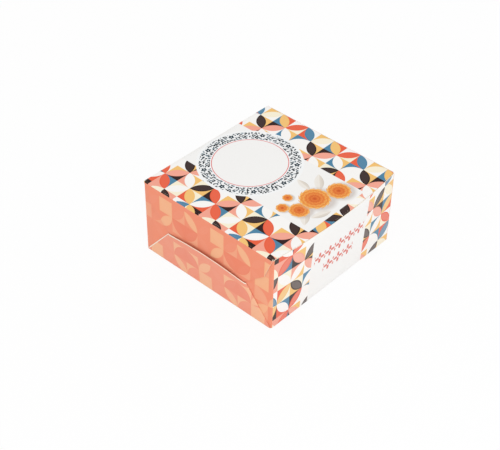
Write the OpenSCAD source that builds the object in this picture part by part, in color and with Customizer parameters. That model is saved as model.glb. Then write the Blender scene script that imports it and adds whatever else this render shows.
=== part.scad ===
// Folding carton for sweets: one die-cut sheet of coated board, creased and glued at its two ends.
// Origin: centre of the footprint, on the surface the carton stands on. Front faces -Y.

/* [Carton] */
// Width along the front
box_w = 150; // [130:1:200]
// Depth of the base from front to back
box_d = 141; // [120:1:190]
// Height over the closed lid
box_h = 72; // [60:1:100]
// Thickness of the board
board_t = 0.5; // [0.4:0.05:0.7]
// Outer radius of a fixed fold
fold_r = 0.8; // [0.75:0.05:1.2]
// How far the top of the front wall bows outward in the middle
front_bow = 5; // [1:0.5:7]

/* [Pocket flaps] */
// Height of the slit at its ends, at the top of a pocket flap
pocket_h = 32; // [24:1:36]
// How much higher the slit runs in its middle
pocket_crown = 5; // [1:0.5:6]
// How far each slanted end of a pocket flap draws in at the slit
pocket_inset = 27; // [20:1:32]
// Outward lean of a pocket flap at the ends of its slit
pocket_lean = 1; // [0.8:0.1:2]
// Extra outward bulge of a pocket flap in the middle of its slit
pocket_bulge = 1.7; // [0.6:0.1:2]

/* [Corner tabs] */
// Length of a corner tab along the end of the carton
tab_len = 60; // [40:1:64]
// How far the free end of a corner tab slants back over its height
tab_slant = 6; // [2:0.5:10]
// Radius of the free corners of a corner tab
tab_corner_r = 4; // [2:0.5:6]

/* [Lid flaps] */
// Depth of a lid side flap below the top of the lid
side_flap_depth = 44; // [40:1:54]
// Depth at which the edges of a side flap turn toward its middle
side_flap_shoulder = 21; // [15:1:25]
// How far the edges of a side flap draw in by that depth
side_flap_taper = 7.5; // [4:0.5:10]
// Radius where the edges of a side flap turn
side_flap_shoulder_r = 6; // [3:0.5:10]
// Radius of the lower corners of a side flap
side_flap_corner_r = 14; // [8:1:20]
// Depth of the tuck flap below the lid
tuck_depth = 20; // [16:1:24]
// Space between each end of the tuck flap and the corner tab beside it
tuck_end_gap = 3; // [2:0.5:8]
// Radius of the lower corners of the tuck flap
tuck_corner_r = 9; // [5:0.5:12]
// Inward lean of the tuck flap at its lower edge
tuck_lean = 2.4; // [2.2:0.1:4]

/* [Clearances] */
// Gap between the layers of board at an end of the carton
layer_gap = 0.25; // [0.2:0.05:0.35]
// Gap between the front wall and the tuck flap behind it
tuck_gap = 0.3; // [0.25:0.05:0.5]
// Gap between a moving panel and the crease that it turns on
crease_gap = 0.15; // [0.1:0.05:0.2]
// Gap between the closed lid and the edges that it rests on
rest_gap = 0.1; // [0.05:0.05:0.2]

/* [Glue] */
// Height of a glue patch behind the slanted end of a pocket flap
glue_h = 5; // [3:0.5:6]
// Width of a glue patch
glue_w = 9; // [6:0.5:12]

/* [Hidden] */

FRONT = -1;
BACK = 1;
LEFT = -1;
RIGHT = 1;

print_white = "#f4f2ee";
print_coral = "#ee9276";
board_grey = "#d9d2c4";
glue_clear = "#e9e3c9";

bow_steps = 24;
arc_steps = 6;

// The footprint is centred with the bow included
front_y = -box_d / 2 + front_bow / 2;
back_y = box_d / 2 + front_bow / 2;
mid_y = (front_y + back_y) / 2;

// Planes of the layers at each end of the carton
flap_inner_x = box_w / 2 - board_t;
tab_outer_x = flap_inner_x - layer_gap;
wall_half = tab_outer_x - fold_r;

// Heights
lid_under_z = box_h - board_t;
crease_z = box_h - board_t / 2;
wall_top_z = lid_under_z - rest_gap;
front_top_z = box_h - rest_gap;
flap_top_z = lid_under_z - crease_gap;
tab_bottom_z = fold_r + rest_gap / 2;

// Lid outline
lid_half = flap_inner_x;
lid_back_y = back_y - board_t - crease_gap;
lid_front_y = front_y + board_t + tuck_gap;
hinge_y = back_y - board_t / 2;
flap_half = (lid_back_y - lid_front_y) / 2 - crease_gap;
flap_mid_y = (lid_back_y + lid_front_y) / 2;
tuck_half = tab_outer_x - board_t - tuck_end_gap;

// Half length of a pocket flap at its foot, at its slit and at a height between them
pocket_foot_half = box_d / 2 - fold_r - layer_gap;
pocket_slit_half = box_d / 2 - pocket_inset;
function pocket_edge(z) = pocket_foot_half
    - (pocket_foot_half - pocket_slit_half) * (z - fold_r) / (pocket_h - fold_r);

// Outward bow of the front edge at a place along the width
function bow_at(x) = abs(x) > wall_half ? 0 : front_bow * (1 - pow(x / wall_half, 2));

function unit(v) = v / norm(v);

// Points of the arc of radius r that rounds corner p between its neighbours a and b
function corner_arc(p, a, b, r) =
    let (u = unit(a - p), v = unit(b - p), half = acos(u * v) / 2)
    let (centre = p + unit(u + v) * r / sin(half), run = r / tan(half))
    let (first = p + u * run - centre, last = p + v * run - centre)
    [for (k = [0 : arc_steps]) centre + r * unit(first + (last - first) * k / arc_steps)];

// Outline with each corner rounded by its own radius, where 0 leaves a corner sharp
function rounded(points, radii) =
    let (n = len(points))
    [for (i = [0 : n - 1])
        each (radii[i] == 0
            ? [points[i]]
            : corner_arc(points[i], points[(i + n - 1) % n], points[(i + 1) % n], radii[i]))];

// Bowed sheet that faces -Y. Each row is [z, half width, outward offset, bow, half width of the bow, crown].
module bowed_sheet(rows, t) {
    columns = bow_steps + 1;
    last = len(rows) - 1;
    skin = len(rows) * columns;
    outer = [for (row = rows) for (i = [0 : bow_steps])
        let (x = row[1] * (2 * i / bow_steps - 1), middle = 1 - pow(x / row[4], 2))
        [x, -row[2] - row[3] * middle, row[0] + row[5] * middle]];
    inner = [for (p = outer) p + [0, t, 0]];
    function at(j, i) = j * columns + i;
    sides = [for (j = [0 : last - 1]) for (i = [0 : bow_steps - 1])
        each [
            [at(j, i), at(j + 1, i), at(j + 1, i + 1)],
            [at(j, i), at(j + 1, i + 1), at(j, i + 1)],
            [skin + at(j, i), skin + at(j + 1, i + 1), skin + at(j + 1, i)],
            [skin + at(j, i), skin + at(j, i + 1), skin + at(j + 1, i + 1)]]];
    edges = [for (i = [0 : bow_steps - 1])
        each [
            [at(0, i), at(0, i + 1), skin + at(0, i + 1)],
            [at(0, i), skin + at(0, i + 1), skin + at(0, i)],
            [at(last, i), skin + at(last, i + 1), at(last, i + 1)],
            [at(last, i), skin + at(last, i), skin + at(last, i + 1)]]];
    ends = [for (j = [0 : last - 1])
        each [
            [at(j, 0), skin + at(j, 0), skin + at(j + 1, 0)],
            [at(j, 0), skin + at(j + 1, 0), at(j + 1, 0)],
            [at(j, bow_steps), skin + at(j + 1, bow_steps), skin + at(j, bow_steps)],
            [at(j, bow_steps), at(j + 1, bow_steps), skin + at(j + 1, bow_steps)]]];
    polyhedron(concat(outer, inner), concat(sides, edges, ends));
}

// Flat sheet in the plane of an end, from an outline in depth and height, with its outer face at x
module end_sheet(points, x, t) {
    translate([x - t, 0, 0])
        rotate([90, 0, 90])
            linear_extrude(t)
                polygon(points);
}

// Quarter bend of the board along X, with its outer corner at the origin, toward +Y and +Z
module fold_strip(length) {
    translate([-length / 2, fold_r, fold_r])
        rotate([90, 0, 90])
            linear_extrude(length)
                intersection() {
                    difference() {
                        circle(r = fold_r, $fn = 48);
                        circle(r = fold_r - board_t, $fn = 48);
                    }
                    translate([-fold_r, -fold_r])
                        square(fold_r);
                }
}

module mirrored(side) {
    if (side == LEFT) mirror([1, 0, 0]) children();
    else children();
}

module base_panel() {
    color(board_grey)
        translate([-box_w / 2 + fold_r, front_y + fold_r, 0])
            cube([box_w - 2 * fold_r, box_d - 2 * fold_r, board_t]);
}

module front_wall() {
    color(print_white)
        translate([0, front_y, 0])
            bowed_sheet([
                [fold_r, wall_half, 0, 0, wall_half, 0],
                [front_top_z, wall_half, 0, front_bow, wall_half, 0]], board_t);
}

module back_wall() {
    color(print_white)
        translate([-wall_half, back_y - board_t, fold_r])
            cube([2 * wall_half, board_t, lid_under_z - fold_r]);
}

// Low flap outside an end: it leans out from the base and its free edge is the slit
module pocket_flap(side) {
    color(print_coral)
        mirrored(side)
            translate([box_w / 2, mid_y, 0])
                rotate([0, 0, 90])
                    bowed_sheet([
                        [fold_r, pocket_foot_half, 0, 0, pocket_foot_half, 0],
                        [pocket_h, pocket_slit_half, pocket_lean, pocket_bulge, pocket_slit_half,
                            pocket_crown]],
                        board_t);
}

// Tab of the front or back wall, folded round the corner to lie inside an end
module corner_tab(side, wall) {
    root = box_d / 2 - fold_r;
    tip = box_d / 2 - tab_len;
    outline = rounded([
        [root, tab_bottom_z],
        [root, wall_top_z],
        [tip, wall_top_z],
        [tip + tab_slant, tab_bottom_z]], [0, 0, tab_corner_r, tab_corner_r]);
    color(print_coral)
        mirrored(side)
            translate([0, mid_y, 0])
                end_sheet([for (p = outline) [wall * p[0], p[1]]], tab_outer_x, board_t);
}

// Fold along the front or back edge of the base
module wall_fold(wall) {
    color(print_white)
        translate([0, mid_y, 0])
            rotate([0, 0, wall == BACK ? 180 : 0])
                translate([0, -box_d / 2, 0])
                    fold_strip(2 * wall_half);
}

// Fold along the left or right edge of the base
module end_fold(side) {
    color(print_coral)
        mirrored(side)
            translate([box_w / 2, mid_y, 0])
                rotate([0, 0, 90])
                    fold_strip(box_d - 2 * fold_r - 2 * layer_gap);
}

// Upright fold between the front or back wall and its corner tab
module corner_fold(side, wall) {
    height = wall_top_z - fold_r;
    color(print_coral)
        mirrored(side)
            translate([tab_outer_x, mid_y + wall * box_d / 2, fold_r + height / 2])
                rotate([0, 0, wall == FRONT ? 90 : 180])
                    rotate([0, 90, 0])
                        fold_strip(height);
}

// Film of glue between a corner tab and the slanted end of the pocket flap
module glue_patch(side, wall) {
    low = tab_bottom_z + rest_gap;
    outline = [for (corner = [[0, 0], [0, glue_h], [1, glue_h], [1, 0]])
        let (z = low + corner[1])
        [wall * (pocket_edge(z) - board_t - glue_w * corner[0]), z]];
    color(glue_clear)
        mirrored(side)
            translate([0, mid_y, 0])
                end_sheet(outline, flap_inner_x, layer_gap);
}

// Crease along the top of the back wall that the lid turns on
module lid_hinge_crease() {
    color(print_white)
        translate([-wall_half, hinge_y, crease_z])
            rotate([0, 90, 0])
                cylinder(r = board_t / 2, h = 2 * wall_half, $fn = 24);
}

// Front edge of the lid along its bow, moved back by a distance
function lid_front_edge(half, back) =
    [for (i = [0 : bow_steps])
        let (x = half * (1 - 2 * i / bow_steps))
        [x, lid_front_y + back - bow_at(x)]];

module lid_panel() {
    outline = concat(
        [[-lid_half, lid_front_y + board_t], [-lid_half, lid_back_y],
            [lid_half, lid_back_y], [lid_half, lid_front_y + board_t]],
        lid_front_edge(wall_half, board_t));
    color(print_white)
        translate([0, 0, lid_under_z])
            linear_extrude(board_t)
                polygon(outline);
}

// Crease along the bowed front edge of the lid, which carries the tuck flap
module tuck_crease() {
    front = lid_front_edge(wall_half, 0);
    back = lid_front_edge(wall_half, board_t);
    rear = [for (i = [0 : bow_steps]) back[bow_steps - i]];
    color(print_white)
        translate([0, 0, lid_under_z])
            linear_extrude(board_t)
                polygon(concat(front, rear));
}

// Crease along a side of the lid that a side flap turns on
module flap_crease(side) {
    color(print_coral)
        mirrored(side)
            translate([box_w / 2 - board_t / 2, lid_front_y + board_t, crease_z])
                rotate([-90, 0, 0])
                    cylinder(r = board_t / 2, h = lid_back_y - lid_front_y - board_t, $fn = 24);
}

// Flap that tucks behind the front wall: it follows the bow and has round lower corners
module tuck_flap() {
    span = tuck_depth - crease_gap;
    low_z = flap_top_z - span;
    corner = [for (k = [0 : arc_steps])
        let (angle = 90 * k / arc_steps)
        [low_z + tuck_corner_r * (1 - cos(angle)),
            tuck_half - tuck_corner_r * (1 - sin(angle))]];
    outline = concat(corner, [[flap_top_z, tuck_half]]);
    color(print_white)
        translate([0, lid_front_y, 0])
            bowed_sheet([for (p = outline)
                [p[0], p[1], -tuck_lean * (flap_top_z - p[0]) / span, front_bow, wall_half, 0]], board_t);
}

// Flap that drops from a side of the lid into the pocket of that end
module side_flap(side) {
    shoulder_half = flap_half - side_flap_taper;
    toe_half = shoulder_half - (side_flap_depth - side_flap_shoulder);
    toe_z = box_h - side_flap_depth;
    shoulder_z = box_h - side_flap_shoulder;
    outline = rounded([
        [-flap_half, flap_top_z], [-shoulder_half, shoulder_z], [-toe_half, toe_z],
        [toe_half, toe_z], [shoulder_half, shoulder_z], [flap_half, flap_top_z]],
        [0, side_flap_shoulder_r, side_flap_corner_r, side_flap_corner_r, side_flap_shoulder_r, 0]);
    color(print_coral)
        mirrored(side)
            translate([0, flap_mid_y, 0])
                end_sheet(outline, box_w / 2, board_t);
}

base_panel();
front_wall();
back_wall();
pocket_flap(LEFT);  // left_pocket_flap
pocket_flap(RIGHT);  // right_pocket_flap
corner_tab(LEFT, FRONT);  // front_left_tab
corner_tab(RIGHT, FRONT);  // front_right_tab
corner_tab(LEFT, BACK);  // back_left_tab
corner_tab(RIGHT, BACK);  // back_right_tab
wall_fold(FRONT);  // base_front_fold
wall_fold(BACK);  // base_back_fold
end_fold(LEFT);  // base_left_fold
end_fold(RIGHT);  // base_right_fold
corner_fold(LEFT, FRONT);  // front_left_fold
corner_fold(RIGHT, FRONT);  // front_right_fold
corner_fold(LEFT, BACK);  // back_left_fold
corner_fold(RIGHT, BACK);  // back_right_fold
glue_patch(LEFT, FRONT);  // front_left_glue
glue_patch(RIGHT, FRONT);  // front_right_glue
glue_patch(LEFT, BACK);  // back_left_glue
glue_patch(RIGHT, BACK);  // back_right_glue
lid_hinge_crease();
lid_panel();
tuck_crease();
flap_crease(LEFT);  // left_flap_crease
flap_crease(RIGHT);  // right_flap_crease
tuck_flap();
side_flap(LEFT);  // left_side_flap
side_flap(RIGHT);  // right_side_flap
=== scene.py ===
"""Dressed model of a folding carton for sweets: printed board, creases, glue, a plain studio and a camera.

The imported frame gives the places. Lengths named here are real sizes in millimetres unless a line says
otherwise, and meshes are written in metres.
"""
from __future__ import annotations

import logging
import math
from dataclasses import dataclass, field
from enum import Enum
from typing import Any, Callable, Dict, Mapping, Sequence, Tuple, Union

import bmesh
import bpy
from mathutils import Matrix, Vector

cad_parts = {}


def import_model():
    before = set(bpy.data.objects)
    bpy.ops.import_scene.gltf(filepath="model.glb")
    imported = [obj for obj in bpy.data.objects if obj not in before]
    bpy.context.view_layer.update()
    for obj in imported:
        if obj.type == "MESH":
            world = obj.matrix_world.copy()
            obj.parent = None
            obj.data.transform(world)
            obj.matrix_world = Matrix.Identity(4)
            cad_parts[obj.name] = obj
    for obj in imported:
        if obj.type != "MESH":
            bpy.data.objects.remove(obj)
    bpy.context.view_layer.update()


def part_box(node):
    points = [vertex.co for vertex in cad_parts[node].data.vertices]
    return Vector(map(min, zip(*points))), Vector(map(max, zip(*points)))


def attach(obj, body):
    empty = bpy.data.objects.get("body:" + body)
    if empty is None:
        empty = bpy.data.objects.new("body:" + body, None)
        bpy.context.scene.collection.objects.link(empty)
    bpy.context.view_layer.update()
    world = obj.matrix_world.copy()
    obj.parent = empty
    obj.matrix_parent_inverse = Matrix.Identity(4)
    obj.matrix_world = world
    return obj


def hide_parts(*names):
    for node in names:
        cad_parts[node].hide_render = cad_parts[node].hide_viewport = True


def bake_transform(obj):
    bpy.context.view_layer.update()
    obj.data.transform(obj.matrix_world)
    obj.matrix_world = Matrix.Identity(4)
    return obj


LOG = logging.getLogger("carton")
MM = 0.001

Socket = bpy.types.NodeSocket
Tree = bpy.types.NodeTree
Skin = bmesh.types.BMesh
Inputs = Union[Sequence[Any], Mapping[str, Any]]


def linear(code: str) -> Tuple[float, float, float, float]:
    """Turn an sRGB hex colour into a linear colour with full alpha.

    Args:
        code: the colour as "#rrggbb".

    Returns:
        The linear red, green, blue and alpha.
    """
    parts = [int(code[i:i + 2], 16) / 255 for i in (1, 3, 5)]
    red, green, blue = [c / 12.92 if c <= 0.04045 else ((c + 0.055) / 1.055) ** 2.4 for c in parts]
    return red, green, blue, 1.0


def add(tree: Tree, kind: str, inputs: Inputs = (), **settings: Any) -> Socket:
    """Add a shader node with its settings and links.

    Args:
        tree: the node tree of the material or the world.
        kind: the node's type without its ShaderNode prefix, then its operation or data type if it has one.
        inputs: values or sockets, in the order of the node's live inputs or by their names.
        settings: the node's own properties.

    Returns:
        The node's first live output.
    """
    kind, _, mode = kind.partition(" ")
    node = tree.nodes.new("ShaderNode" + kind)
    if mode:
        settings["data_type" if kind == "Mix" else "operation"] = mode
    for name, value in settings.items():
        setattr(node, name, value)
    live = [socket for socket in node.inputs if socket.enabled]
    if isinstance(inputs, Mapping):
        pairs = [(next(s for s in live if s.name == name), value) for name, value in inputs.items()]
    else:
        pairs = list(zip(live, inputs))
    for socket, value in pairs:
        if isinstance(value, Socket):
            tree.links.new(value, socket)
        else:
            socket.default_value = value
    return next((socket for socket in node.outputs if socket.enabled), None)


def set_stops(ramp: Socket, stops: Sequence[Tuple[float, str]], step: bool = False) -> Socket:
    """Give a colour ramp its stops.

    Args:
        ramp: the output of a ColorRamp node.
        stops: a place from 0 to 1 and an sRGB hex colour for each stop, in order.
        step: true where a colour holds until the next stop.

    Returns:
        The same output.
    """
    band = ramp.node.color_ramp
    band.interpolation = "CONSTANT" if step else "LINEAR"
    for _ in range(len(stops) - 2):
        band.elements.new(0.5)
    for element, (place, code) in zip(band.elements, stops):
        element.position = place
        element.color = linear(code)
    return ramp


class Face(Enum):
    """A face of the carton: the axis that its print runs across, the way it runs, and the axis up."""

    TOP = ("X", 1, "Y")
    FRONT = ("X", 1, "Z")
    BACK = ("X", -1, "Z")
    LEFT = ("Y", -1, "Z")
    RIGHT = ("Y", 1, "Z")


class Ink(Enum):
    """Printing inks: the letter that stands for each in a chart of petals, and its colour."""

    ORANGE_RED = ("O", "#e9603f")
    BLUE = ("B", "#4c83a3")
    DARK = ("D", "#2c1512")
    MUSTARD = ("M", "#f3c273")
    SALMON = ("S", "#f3a590")
    CREAM = ("C", "#f8efd6")
    WHITE = ("W", "#f8f6f3")
    PEACH = ("P", "#f6b68b")
    APRICOT = ("A", "#f4a784")
    CORAL = ("K", "#f29475")
    DEEP_CORAL = ("R", "#ef8a6c")


INK_COLOURS: Dict[str, str] = dict(ink.value for ink in Ink)


@dataclass(frozen=True)
class PetalGrid:
    """A grid of petals: each cell has one petal on a diagonal and a filled corner on each side of it.

    The petal is where two quarter circles about opposite corners overlap, and the diagonals alternate.
    A chart gives one repeat, a row of cells a line and three letters a cell: petal, upper and lower corner.
    Each petal is a little paler inside a rim of full ink, a painted sheen.
    """

    chart: Tuple[str, ...]
    cell_across: float
    cell_down: float
    left: float
    top: float
    first_rises: bool = False
    rim: float = 0.93
    sheen_veil: float = 0.02

    def paint(self, tree: Tree, across: Socket, up: Socket) -> Socket:
        """Draw the grid.

        Args:
            tree: the material's node tree.
            across: millimetres across the face.
            up: millimetres up the face.

        Returns:
            The ink's colour.
        """
        cells = [line.split() for line in self.chart]
        rows = len(cells)
        columns = len(cells[0])
        over = add(tree, "Math MULTIPLY_ADD", [across, 1 / self.cell_across, -self.left / self.cell_across])
        down = add(tree, "Math MULTIPLY_ADD", [up, -1 / self.cell_down, self.top / self.cell_down])
        column = add(tree, "Math FLOOR", [over])
        row = add(tree, "Math FLOOR", [down])

        # The petal rises to the right in every second cell, and the others are its mirror image
        count = add(tree, "Math ADD", [column, row])
        count = add(tree, "Math ADD", [count, float(self.first_rises)])
        rises = add(tree, "Math FLOORED_MODULO", [count, 2.0])
        from_left = add(tree, "Math FRACT", [over])
        from_right = add(tree, "Math SUBTRACT", [1.0, from_left])
        side = add(tree, "Mix FLOAT", [rises, from_right, from_left])
        drop = add(tree, "Math FRACT", [down])
        spot = add(tree, "CombineXYZ", [side, drop, 0.0])
        to_upper = add(tree, "VectorMath LENGTH", [spot])
        to_lower = add(tree, "VectorMath DISTANCE", [spot, (1.0, 1.0, 0.0)])

        # The cell's number in the repeat picks its three inks
        chart_row = add(tree, "Math FLOORED_MODULO", [row, float(rows)])
        chart_column = add(tree, "Math FLOORED_MODULO", [column, float(columns)])
        number = add(tree, "Math MULTIPLY_ADD", [chart_row, float(columns), chart_column])
        place = add(tree, "Math MULTIPLY_ADD", [number, 1 / (rows * columns), 0.5 / (rows * columns)])
        inks = []
        for part in range(3):
            letters = [cell[part] for line in cells for cell in line]
            stops = [(k / len(letters), INK_COLOURS[letter]) for k, letter in enumerate(letters)]
            inks.append(set_stops(add(tree, "ValToRGB", [place]), stops, step=True))
        petal, upper, lower = inks
        outmost = add(tree, "Math MAXIMUM", [to_upper, to_lower])
        in_rim = add(tree, "Math GREATER_THAN", [outmost, self.rim])
        # Painted sheen: the inside of each petal is mixed toward a pale pink
        pale = add(tree, "Mix RGBA", [self.sheen_veil, petal, linear("#ffece4")])
        petal = add(tree, "Mix RGBA", [in_rim, pale, petal])
        in_upper = add(tree, "Math GREATER_THAN", [to_lower, 1.0])
        in_lower = add(tree, "Math GREATER_THAN", [to_upper, 1.0])
        body = add(tree, "Mix RGBA", [in_upper, petal, upper])
        return add(tree, "Mix RGBA", [in_lower, body, lower])


PETAL_CHART = (
    "CSC OSB SMD DWM CMW OBC",
    "DWS WCC WSM SDW MBO DMB",
    "BWC MOC DCM WBM OWC WOC",
    "MCD WBO ODW WBW BOW WCO",
)
TOP_PETALS = PetalGrid(PETAL_CHART, cell_across=14.49, cell_down=14.28, left=-84.96, top=67.6)
# The walls' petals get a stronger painted sheen inside their rims
WALL_PETALS = PetalGrid(PETAL_CHART, cell_across=14.33, cell_down=14.7, left=-83.46, top=66.9, sheen_veil=0.12)

END_CHART = (
    "PPP KKA PKK KKK",
    "PKK RRA RRA KKK",
    "KKK KKK KKK KKK",
)
END_PETALS = PetalGrid(END_CHART, cell_across=14.31, cell_down=14.7, left=-54.9, top=66.6)

# The pocket flaps fold up from the base, so their print runs the other way up from the flaps over them
POCKET_CHART = (
    "RPR RPR PKK KKK",
    "PKK KPK PPP KKK",
    "KKK KKK KKK KKK",
)
POCKET_PETALS = PetalGrid(POCKET_CHART, cell_across=14.28, cell_down=14.2, left=-38.7, top=28.8,
                          first_rises=True)

TAB_CHART = (
    "PPP KKK KKK AAA KKA KKK",
    "AKA PKK KKK KKK KKK KKK",
    "PKA KKK KKK KKK KKK KKK",
    "AAA KKK KKK KKK KKK KKK",
)
TAB_PETALS = PetalGrid(TAB_CHART, cell_across=14.4, cell_down=14.5, left=49.3, top=51.0,
                       first_rises=True)


@dataclass(frozen=True)
class Finish:
    """A material, named for what it is made of and how its surface was made."""

    name: str

    def make(self) -> bpy.types.Material:
        """Build the material.

        Returns:
            The finished material.
        """
        material = bpy.data.materials.new(self.name)
        material.use_nodes = True
        tree = material.node_tree
        tree.nodes.clear()
        spot = add(tree, "TexCoord").node.outputs["Object"]
        place = add(tree, "VectorMath SCALE", {"Vector": spot, "Scale": 1 / MM})
        add(tree, "OutputMaterial", [self.surface(tree, place)])
        return material

    def surface(self, tree: Tree, place: Socket) -> Socket:
        """Give the shader at a place in millimetres; every material has its own."""
        raise NotImplementedError


@dataclass(frozen=True)
class VarnishedBoard(Finish):
    """Coated carton board, offset printed and machine varnished.

    The clay coat hides the fibres, so the eye gets flat, even ink under a satin gloss that breaks up
    softly, because the sheet is never quite flat.
    """

    name: str = "coated_board_varnished"
    base: str = "#f4f3f1"
    roughness: float = 0.45
    specular: float = 0.1
    coat: float = 0.03
    wave: float = 16.0
    fibre: float = 0.9

    def colour(self, tree: Tree, place: Socket) -> Socket:
        """Tint the white coat very slightly, as one sheet varies over its width."""
        cloud = add(tree, "TexNoise", {"Vector": place, "Scale": 0.02, "Detail": 2.0})
        return set_stops(add(tree, "ValToRGB", [cloud]), [(0.3, self.base), (0.7, "#efeeec")])

    def surface(self, tree: Tree, place: Socket) -> Socket:
        """Give the varnished ink its waves and its fine grain.

        Args:
            tree: the material's node tree.
            place: the place on the board in millimetres.

        Returns:
            The shader.
        """
        ink = self.colour(tree, place)

        # Slow waves of the sheet, and the faint grain of the fibres through the coat
        slow = add(tree, "TexNoise", {"Vector": place, "Scale": 1 / self.wave, "Detail": 1.0})
        fine = add(tree, "TexNoise", {"Vector": place, "Scale": 1 / self.fibre, "Detail": 3.0})
        rough = add(tree, "MapRange", {"Value": fine, "From Min": 0.3, "From Max": 0.7,
                                       "To Min": self.roughness - 0.05, "To Max": self.roughness + 0.05})
        broad = add(tree, "Bump", {"Height": slow, "Strength": 0.35, "Distance": 0.35 * MM})
        bump = add(tree, "Bump", {"Height": fine, "Strength": 0.12, "Distance": 0.02 * MM,
                                  "Normal": broad})
        return add(tree, "BsdfPrincipled", {
            "Base Color": ink, "Roughness": rough, "Normal": bump, "IOR": 1.5,
            "Specular IOR Level": self.specular, "Coat Weight": self.coat, "Coat Roughness": 0.25})


@dataclass(frozen=True)
class PrintedFace(VarnishedBoard):
    """A face of the carton with the petal grid printed on it."""

    face: Face = Face.FRONT
    grid: PetalGrid = WALL_PETALS
    softness: float = 0.0

    def colour(self, tree: Tree, place: Socket) -> Socket:
        """Lay the petals over the face.

        Args:
            tree: the material's node tree.
            place: the place on the board in millimetres.

        Returns:
            The printed colour.
        """
        axis, way, rise = self.face.value
        axes = add(tree, "SeparateXYZ", [place]).node.outputs
        across = add(tree, "Math MULTIPLY", [axes[axis], float(way)])
        petals = self.grid.paint(tree, across, axes[rise])
        # Painted sheen: the petals are mixed toward the white of the board
        ink = add(tree, "Mix RGBA", [self.softness, petals, linear(self.base)])
        return self.overprint(tree, across, axes[rise], ink)

    def overprint(self, tree: Tree, across: Socket, up: Socket, ink: Socket) -> Socket:
        """Leave the petals as they are; a face with a label prints it here."""
        return ink


@dataclass(frozen=True)
class WallPrint(PrintedFace):
    """Front and back walls: petals at the sides of a white panel with two rows of small flowers.

    Their ink is mixed toward the white of the board, a painted sheen for the varnish that catches the light
    on these faces.
    """

    name: str = "coated_board_petal_wall_print"
    softness: float = 0.06
    panel_middle: float = 2.75
    panel_half: float = 34.35
    flower_pitch: float = 12.4
    flower_radius: float = 5.6
    petals: int = 4
    lobe: float = 0.36
    eye: float = 0.22
    bud: float = 0.2
    bud_rise: float = 0.5
    bud_flare: float = 0.6
    rows: Tuple[Tuple[float, int], ...] = ((43.0, 5), (28.0, 3))
    flower_ink: str = "#de8178"

    def overprint(self, tree: Tree, across: Socket, up: Socket, ink: Socket) -> Socket:
        """Lay the white panel and its flowers over the petals.

        Args:
            tree: the material's node tree.
            across: millimetres across the face.
            up: millimetres up the face.
            ink: the colour of the petals.

        Returns:
            The printed colour.
        """
        panel = add(tree, "Math COMPARE", [across, self.panel_middle, self.panel_half])
        ink = add(tree, "Mix RGBA", [panel, ink, linear(self.base)])
        for height, count in self.rows:
            start = self.panel_middle - count * self.flower_pitch / 2
            step = add(tree, "Math DIVIDE", [add(tree, "Math SUBTRACT", [across, start]),
                                             self.flower_pitch])
            side = add(tree, "Math MULTIPLY_ADD",
                       [add(tree, "Math FRACT", [step]), self.flower_pitch, -self.flower_pitch / 2])
            rise = add(tree, "Math SUBTRACT", [up, height])
            inside = add(tree, "Math COMPARE", [across, self.panel_middle, count * self.flower_pitch / 2])
            shown = add(tree, "Math MULTIPLY", [self.flower(tree, side, rise), inside])
            ink = add(tree, "Mix RGBA", [shown, ink, linear(self.flower_ink)])
        return ink

    def flower(self, tree: Tree, side: Socket, rise: Socket) -> Socket:
        """Draw four petals round an eye without ink, and half a bud above and below the gap to the next
        flower.

        Args:
            tree: the material's node tree.
            side: millimetres to the right of the flower's middle.
            rise: millimetres above it.

        Returns:
            One inside the flower, and zero outside.
        """
        size = self.flower_radius
        angle = add(tree, "Math ARCTAN2", [rise, side])
        turns = add(tree, "Math MULTIPLY", [angle, float(self.petals)])
        lobes = add(tree, "Math COSINE", [turns])
        reach = add(tree, "Math MULTIPLY_ADD", [lobes, self.lobe * size, (1 - self.lobe) * size])
        radius = add(tree, "VectorMath LENGTH", [add(tree, "CombineXYZ", [side, rise, 0.0])])
        within = add(tree, "Math LESS_THAN", [radius, reach])
        eye = add(tree, "Math LESS_THAN", [radius, self.eye * size])
        petals = add(tree, "Math SUBTRACT", [within, eye], use_clamp=True)

        apart = add(tree, "Math SUBTRACT", [self.flower_pitch / 2, add(tree, "Math ABSOLUTE", [side])])
        climb = add(tree, "Math ABSOLUTE", [rise])
        away = add(tree, "Math SUBTRACT", [climb, self.bud_rise * size])
        spread = add(tree, "Math MULTIPLY_ADD", [add(tree, "Math ABSOLUTE", [away]), self.bud_flare, apart])
        bud = add(tree, "Math LESS_THAN", [spread, self.bud * size])
        return add(tree, "Math MAXIMUM", [petals, bud])


@dataclass(frozen=True)
class Leaf:
    """A pale leaf printed under the blossoms."""

    x: float
    y: float
    length: float
    width: float
    turn: float

    def paint(self, tree: Tree, flat: Socket, ink: Socket) -> Socket:
        """Draw the leaf with its darker lower half and its vein.

        Args:
            tree: the material's node tree.
            flat: the place on the face in millimetres.
            ink: the colour under the leaf.

        Returns:
            The colour with the leaf on it.
        """
        local = add(tree, "Mapping", {"Vector": flat, "Location": (self.x, self.y, 0.0),
                                      "Rotation": (0.0, 0.0, math.radians(self.turn))},
                    vector_type="TEXTURE")
        axes = add(tree, "SeparateXYZ", [local]).node.outputs
        share = add(tree, "Math MULTIPLY", [axes["X"], 2 / self.length])
        taper = add(tree, "Math MULTIPLY_ADD", [add(tree, "Math MULTIPLY", [share, share]),
                                                -self.width / 2, self.width / 2])
        off = add(tree, "Math ABSOLUTE", [axes["Y"]])
        mask = add(tree, "Math LESS_THAN", [off, taper])
        tone = add(tree, "MapRange", {"Value": axes["Y"], "From Min": -self.width / 2,
                                      "From Max": self.width / 2})
        blade = set_stops(add(tree, "ValToRGB", [tone]), [
            (0.0, "#d3cabf"), (0.46, "#e6ded3"), (0.5, "#f6f1ea"), (0.54, "#ece6dd"), (1.0, "#efeae3")])
        return add(tree, "Mix RGBA", [mask, ink, blade])


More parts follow.
